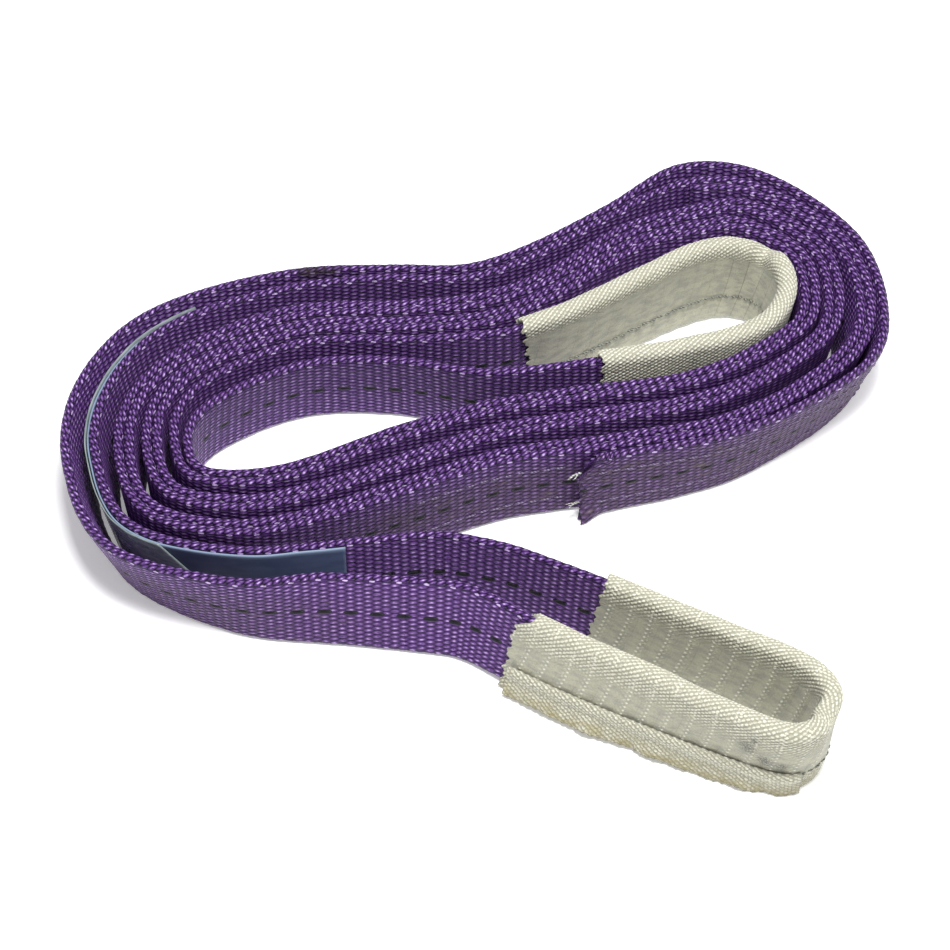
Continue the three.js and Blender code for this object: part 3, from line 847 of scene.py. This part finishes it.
def sleeve_piece(name, span, ends, crumple, ridge, beaded, marks):
    """A woven tube over the strap.

    ends(high, side) gives how far its two ends lie from straight, and each of the marks is a function
    of (s, high, side).
    """
    first, last = at(span[0], span[1]), at(span[0], span[2])
    section = loop_section(SLEEVE_HALF, SLEEVE_LOW, SLEEVE_TOP, SLEEVE_CORNERS, ROUND_STEP)
    side, high, out_side, out_high, around = section
    columns = len(side)
    steps = int((last - first) / SLEEVE_STEP)
    from_first, from_last = ends(high, side)

    def along(part):
        ragged = from_first * smooth(0.12, 0, part) + from_last * smooth(0.88, 1, part)
        return first + (last - first) * part + ragged

    s = along(np.linspace(0, 1, steps + 1)[:, None])
    v = around[:columns]
    level, turned = high[None, :], side[None, :]
    top = ridge(level, turned)
    sway = -SWAY * np.maximum((WEB_WIDTH - level) / WEB_WIDTH, 0) ** 1.6 * np.sign(turned)
    knots = lattice(s, v, **SLEEVE_KNOT) * np.maximum(top, 0.1)
    beads = lattice(s + sway, v, **SLEEVE_BEAD) * 0.7 * beaded
    swell = np.maximum(knots, beads) * SLEEVE_RELIEF
    ribs = 0.16 * np.cos(2 * np.pi * (s + sway) / SLEEVE_BEAD["pitch"]) * (1 - top)
    slack = wander(s, 23, 26, 0.22) * np.sin(np.pi * np.clip(level / WEB_WIDTH, 0, 1))
    push_side, push_high = crumple(s, level)
    new_side = turned + out_side * (swell + ribs + slack) + push_side
    new_high = level + out_high * swell + push_high + wander(s, 31, 34, 0.25) * smooth(15, 32, level)
    outer = route.place(s, new_side, new_high)

    back = np.linspace(1, 0, steps // 4 + 1)[:, None]
    inner_s = along(back) + 0.3 * np.where(back < 0.5, 1, -1)
    in_side, in_high = turned * (SLEEVE_INSIDE / SLEEVE_HALF), level * 0.955 + 0.2
    lean_side, lean_high = crumple(inner_s, level)
    inner = route.place(inner_s, in_side + lean_side, in_high + lean_high)

    rows_s = np.vstack([s, inner_s])
    uv = np.stack([np.column_stack([rows_s, rows_s[:, :1]]),
                   np.broadcast_to(around, (len(rows_s), columns + 1))], axis=-1)

    def spread(values):
        """Over every point of the outer face, and 0 on the inner."""
        return np.vstack([values + np.zeros_like(s), np.zeros_like(inner_s)])

    attributes = {"ridge": spread(top), "sway": spread(sway), "beaded": spread(beaded)}
    for key, mark_at in marks.items():
        attributes[key] = spread(mark_at(s, level, turned))
    piece = make_mesh(name, np.vstack([outer, inner]), uv, SLEEVE, attributes, ring=True)
    return piece, (around[-1] * MM, (last - first) * MM)


def inner_ends(high, side):
    """How far the inner sleeve's first and last end lie from straight: slanted and ragged."""
    slant = 4.0 * (high / WEB_WIDTH - 0.5)
    ragged = 0.7 * np.sin(high * 1.1) + 0.4 * np.sin(high * 2.7 + side)
    return -slant * 0.3 + ragged, slant * 0.9 + ragged


def outer_ends(high, side):
    slant = 5.0 * (high / WEB_WIDTH - 0.5)
    ragged = 0.6 * np.sin(high * 0.9 + 1) + 0.4 * np.sin(high * 2.3 + side)
    return slant + ragged, -slant * 0.4 + ragged - 5.0 * smooth(26, 31, high)


def inner_ridge(high, side):
    """Where the close knots of the sleeve's rim show, 0 to 1."""
    return np.where(side > 0, smooth(23.5, 28.5, high), smooth(8, 26, high))


def outer_ridge(high, side):
    outside = np.maximum(smooth(15, 27, high), smooth(9.5, 7.5, high))
    return np.where(side > 0, outside, smooth(21, 28.5, high))


def inner_grime(s, high, side):
    return 0.12 * (side < 0) * smooth(20, 5, high) + 0.1


def outer_grime(s, high, side):
    return 0.15 + 0.35 * (side > 0) * smooth(10, 2, high)


FAINT = 0.15                       # how strongly the painted shade in the ribs' creases shows on a sleeve


def inner_groove_shade(s, high, side):
    """Painted shade: faint grey lines in the ribs' creases, stronger inside the bend of the inner eye."""
    begins = smooth(at("inner_eye", 7), at("inner_eye", 8.5), s)
    ends = smooth(at("inner_eye", 12.3), at("inner_eye", 11), s)
    return FAINT + 0.6 * begins * ends * (side > 0)


def faint_groove_shade(s, high, side):
    return FAINT


# Dark marks at the outer eye's tip: rows on from the landmark, height, and size in mm.
SMUDGES = ((12.95, 19.0, 3.4), (12.6, 14.0, 3.0), (12.25, 12.5, 2.2), (12.8, 24.0, 1.6))


def tip_smudge(s, high, side):
    total = 0
    for on, level, size in SMUDGES:
        far = ((s - at("outer_eye", on)) / size) ** 2 + ((high - level) / size) ** 2
        total = total + np.exp(-far * 1.5) * (side > 0)
    return np.clip(1.4 * total, 0, 1)


inner_sleeve, inner_flat = sleeve_piece(
    "sleeve_inner_eye", INNER_SPAN, inner_ends, inner_crumple, inner_ridge, 0.15,
    dict(grime=inner_grime, smudge=unmarked, groove_shaded=inner_groove_shade))
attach(inner_sleeve, "coil")
declare(["inner_eye_sleeve"])
outer_sleeve, outer_flat = sleeve_piece(
    "sleeve_outer_eye", OUTER_SPAN, outer_ends, outer_crumple, outer_ridge, 0.75,
    dict(grime=outer_grime, smudge=tip_smudge, groove_shaded=faint_groove_shade))
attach(outer_sleeve, "outer_eye")
declare(["outer_eye_sleeve"])


def ribbon(name, s, left_line, right_line, material, attributes):
    """A thin strip between two lines of (side, high) columns, laid along the route at the places s."""
    side = np.concatenate([left_line[0], right_line[0][..., ::-1]], axis=-1)
    high = np.concatenate([left_line[1], right_line[1][..., ::-1]], axis=-1)
    grid = route.place(s, side, high)
    steps = np.hypot(np.diff(side[0], append=side[0, :1]), np.diff(high[0], append=high[0, :1]))
    around = np.concatenate([[0], np.cumsum(steps)])
    uv = np.stack(np.broadcast_arrays(s[:, :1], around[None, :]), axis=-1)
    return make_mesh(name, grid, uv, material, attributes)


# The sleeve's overlapped edge, sewn down by the seam and flaring out to the ground.
FLAP_SPAN = ("outer_eye", 11.7, 17.85)
FLAP_TOP = 9.4
FLAP_DEPTH = 12                    # mm of cloth down the flap
FLAP_COLUMNS = 26
FLAP_FLAT = 16
FLAP_THICKNESS = 0.95
FLAP_TUCK = 0.05                   # mm, how far its inner face sinks into the sleeve's


def flap_piece():
    first, last = at(FLAP_SPAN[0], FLAP_SPAN[1]), at(FLAP_SPAN[0], FLAP_SPAN[2])
    s = np.linspace(first, last, int((last - first) / 0.55) + 1)[:, None]
    t = np.linspace(0, 1, FLAP_COLUMNS)[None, :]
    fade = smooth(first, first + 9, s)
    ragged = wander(s, 41, 11, 1.0) + wander(s, 43, 3.6, 0.6)
    low = -SLEEVE_LIFT + 0.35 + np.maximum(ragged, -0.1) * 0.6
    high = FLAP_TOP + (low - FLAP_TOP) * t
    flare = (0.3 + 1.5 * fade + wander(s, 47, 19, 0.5) + 0.3 * ragged) * t ** 2
    side = SLEEVE_FACE + flare + 0.7 * np.sin(np.pi * np.clip(t * 2.5, 0, 1))
    weave = lattice(s, FLAP_DEPTH * t, **SLEEVE_KNOT) * SLEEVE_RELIEF
    outer_line = (side + weave + FLAP_THICKNESS - FLAP_TUCK, high + 0.25)
    inner_line = (side - FLAP_TUCK, high)
    every = np.ones((len(s), 2 * FLAP_COLUMNS))
    level = every * np.concatenate([t, t[:, ::-1]], axis=1)
    marks = {"ridge": every, "sway": 0 * every, "beaded": 0 * every, "groove_shaded": 0 * every,
             "grime": smooth(0.3, 1, level) * 0.75 + 0.2, "smudge": smooth(0.9, 1.0, level) * 0.45}
    piece = ribbon("sleeve_outer_flap", s, outer_line, inner_line, SLEEVE, marks)
    return piece, (FLAP_FLAT * MM, (last - first) * MM)


flap, flap_flat = flap_piece()
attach(flap, "outer_eye")
declare([])


# ------------ threads
THREAD_SIDES = 7
THREAD_ROUND = 4 * MM              # distance round a thread, as its weave coordinates count it
SEAM_RADIUS = 0.33 * MM
BODY_RADIUS = 0.32 * MM
FIBRE_RADIUS = 0.2 * MM


def thread_mesh(name, lines, radius, material):
    """One mesh of round threads, each a list of places with tapered ends."""
    sides = THREAD_SIDES
    verts, faces, turns = [], [], []
    for line in lines:
        ahead = np.gradient(line, axis=0)
        ahead /= np.linalg.norm(ahead, axis=1)[:, None]
        across = np.cross(ahead, (0.0, 0.0, 1.0))
        across /= np.linalg.norm(across, axis=1)[:, None]
        over = np.cross(across, ahead)
        count = len(line)
        part = np.linspace(0, 1, count)
        width = radius * (0.35 + 0.65 * np.clip(np.minimum(part, 1 - part) * count / 2.5, 0, 1))
        base = len(verts)
        far = np.concatenate([[0], np.cumsum(np.linalg.norm(np.diff(line, axis=0), axis=1))])
        for i in range(count):
            for k in range(sides):
                a = 2 * math.pi * k / sides
                out = math.cos(a) * across[i] + math.sin(a) * over[i]
                verts.append(tuple(line[i] + width[i] * out))
        for i in range(count - 1):
            for k in range(sides):
                n = (k + 1) % sides
                faces.append((base + i * sides + k, base + i * sides + n,
                              base + (i + 1) * sides + n, base + (i + 1) * sides + k))
                low, top = k / sides * THREAD_ROUND, (k + 1) / sides * THREAD_ROUND
                turns.extend([(far[i], low), (far[i], top), (far[i + 1], top), (far[i + 1], low)])
        faces.append(tuple(range(base, base + sides))[::-1])
        faces.append(tuple(range(base + (count - 1) * sides, base + count * sides)))
        turns.extend([(0, 0)] * (2 * sides))
    return link_mesh(name, verts, faces, np.array(turns), material)


def declare_thread(piece, body, node):
    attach(piece, body)
    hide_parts(node)


def stitches(start, end, side_at, high, pitch, length, dip):
    """Stitches along the route as short bowed threads on the cloth at side_at(s)."""
    lines = []
    sign = math.copysign(1, side_at(start))
    part = np.linspace(0, 1, STITCH_POINTS)
    for s in np.arange(start, end - length, pitch):
        along = s + part * length
        side = side_at(along) + sign * dip * (np.sin(np.pi * part) - 0.7)
        level = np.full_like(part, high + 0.25 * math.sin(s * 0.9))
        lines.append(route.place(along, side, level))
    return lines


STITCH_POINTS = 7
SEAM_PITCH = 3.3
SEAM_LENGTH = SEAM_PITCH * 0.93
SEAM_HIGH = 8.4
SEAM_DIP = 0.35
SEAM_START = 1.0                   # mm, how far a seam stops short of its sleeve's ends


def seam(name, span, side_at, body, node):
    start, end = at(span[0], span[1]) + SEAM_START, at(span[0], span[2]) - SEAM_START
    lines = stitches(start, end, side_at, SEAM_HIGH, SEAM_PITCH, SEAM_LENGTH, SEAM_DIP)
    declare_thread(thread_mesh(name, lines, SEAM_RADIUS, SEAM_THREAD), body, node)


def on_sleeve(s):
    return SLEEVE_FACE


def over_flap(s):
    """The seam steps out where it passes over the flap."""
    flap_start = at(FLAP_SPAN[0], FLAP_SPAN[1])
    return SLEEVE_HALF + 0.3 + 0.85 * smooth(flap_start - 1.5, flap_start + 2, s)


seam("seam_inner_sleeve", INNER_SPAN, on_sleeve, "coil", "inner_sleeve_seam")
seam("seam_outer_sleeve", OUTER_SPAN, over_flap, "outer_eye", "outer_sleeve_seam")

SEWING_HIGHS = (7.5, 22.5)
SEWING_PITCH = 4.6
SEWING_LENGTH = 3.6
SEWING_DIP = 0.25
WEB_FACE = WEB_CORE / 2 + RELIEF


def on_left(s):
    return WEB_FACE


def on_right(s):
    return -WEB_FACE


def sewing(name, start, end, side_at, high, node):
    lines = stitches(start, end, side_at, high, SEWING_PITCH, SEWING_LENGTH, SEWING_DIP)
    declare_thread(thread_mesh(name, lines, BODY_RADIUS, BODY_THREAD), "coil", node)


for row, high in enumerate(SEWING_HIGHS, 1):
    sewing("thread_turn_%d" % row, at("outer_2", 11), at("outer_2", 12.7), on_right, high,
           "body_stitch_%d" % row)
    sewing("thread_lap_%d" % row, at("lap", 1), at("end") - 3, on_left, high, "lap_stitch_%d" % row)

TAIL_FIBRES = 4
TAIL_POINTS = 9
TAIL_SEED = 60


def past_end(far):
    """Steps beyond the strap's cut end, straight on."""
    ahead = np.array([route.x[-1] - route.x[-9], route.y[-1] - route.y[-9], 0])
    ahead /= np.linalg.norm(ahead)
    return far[:, None] * ahead[None, :] * MM


def tail_lines(high, seed):
    """The loose fibres of one sewing thread, past the strap's cut end."""
    draw = np.random.default_rng(seed)
    part = np.linspace(0, 1, TAIL_POINTS)
    root = np.full(TAIL_POINTS, at("end") - 1)
    lines = []
    for k in range(TAIL_FIBRES):
        drop, turn = draw.uniform(-2.0, 1.5), draw.uniform(-1.2, 1.8)
        reach = draw.uniform(3.5, 5.5)
        side = turn * part ** 2 + 0.25 * np.sin(part * 7 + k)
        level = high + drop * part ** 1.5 + 0.3 * np.sin(part * 6 + 2 * k)
        lines.append(route.place(root, side, level) + past_end(part * reach + 0.8))
    return lines


for row, high in enumerate(SEWING_HIGHS, 1):
    lines = tail_lines(high, TAIL_SEED + row)
    piece = thread_mesh("thread_tail_%d_fibres" % row, lines, FIBRE_RADIUS, LOOSE_THREAD)
    declare_thread(piece, "coil", "thread_tail_%d" % row)

# ------------ label and film
LEAF_STEP = 1.2
LEAF_COLUMNS = 30
LABEL = dict(span=(5.25, 10.2), side=-2.15, low=1.5, top=28.9, thick=0.5)
COVER = dict(span=(4.6, 8.9), side=-3.05, low=2.0, top=29.6, thick=0.35)
RIM_STARTS = 0.955                 # the part of the label's height where its pale rim begins
NO_RIM = 2.0


def leaf(name, span, side, low, top, thick, material, ends, rim):
    """A thin upright leaf beside the fourth turn. ends(t) gives how far its two ends lie from straight."""
    first, last = at("outer_3", span[0]), at("outer_3", span[1])
    s = np.linspace(first, last, int((last - first) / LEAF_STEP) + 1)[:, None]
    t = np.linspace(0, 1, LEAF_COLUMNS)[None, :]
    every = np.ones((len(s), LEAF_COLUMNS))
    level = every * (low + (top - low) * t)
    middle = every * (side + wander(s, 71, 30, 0.12))
    from_first, from_last = ends(t)
    part = (s - first) / (last - first)
    where = s + from_first * smooth(0.3, 0, part) + from_last * smooth(0.7, 1, part)
    both = np.concatenate([where, where[:, ::-1]], axis=1)
    up = np.concatenate([every * t, every * t[:, ::-1]], axis=1)
    marks = {"rim": smooth(rim, rim + 0.02, up)}
    piece = ribbon(name, both, (middle + thick / 2, level), (middle - thick / 2, level), material, marks)
    return piece, ((top - low) * MM, (last - first) * MM)


def straight(t):
    return np.zeros_like(t), np.zeros_like(t)


def pointed(t):
    """The film's ends: the first a little hollow, the last cut on a long slant."""
    return 6 * np.abs(t - 0.5), -22 * t


label, label_flat = leaf("label_leaf", material=LABEL_CLOTH, ends=straight, rim=RIM_STARTS, **LABEL)
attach(label, "coil")
declare(["label"])
film, film_flat = leaf("label_cover", material=FILM, ends=pointed, rim=NO_RIM, **COVER)
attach(film, "coil")
declare(["label_film"])
